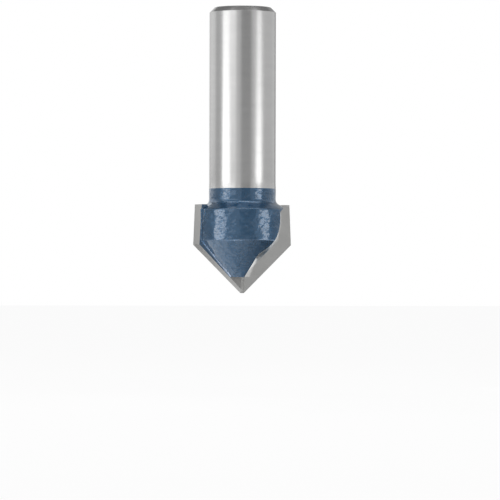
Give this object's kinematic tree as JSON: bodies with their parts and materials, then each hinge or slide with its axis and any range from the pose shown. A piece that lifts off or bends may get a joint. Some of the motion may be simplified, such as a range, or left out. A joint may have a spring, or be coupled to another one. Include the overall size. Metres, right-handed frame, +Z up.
{
  "type": "v groove router bit",
  "caption": "Straight-shank router bit with a pointed head for cutting vee grooves: brazed carbide tips in a blue enamelled steel body, right-hand cutting.",
  "frame": {"origin": "middle of the small flat at the cutting point, on the tool's axis, at its lowest level", "axes": "+Z up the tool's axis towards the end of the shank, +X towards the right-hand cutting edge, rake faces in the XZ plane"},
  "size_m": [0.019, 0.0172, 0.0545],
  "materials": {
    "body_steel": "ground bare on the shank, blue gloss enamel on the neck and head",
    "carbide": "fine ground, satin",
    "braze": "silver braze under blue gloss enamel, bare where it is ground with the tip"
  },
  "bodies": {
    "root": {"steel_body": "body_steel", "carbide_tip_1": "carbide", "carbide_tip_2": "carbide", "braze_joint_1": "braze", "braze_joint_2": "braze"}
  },
  "joints": []
}
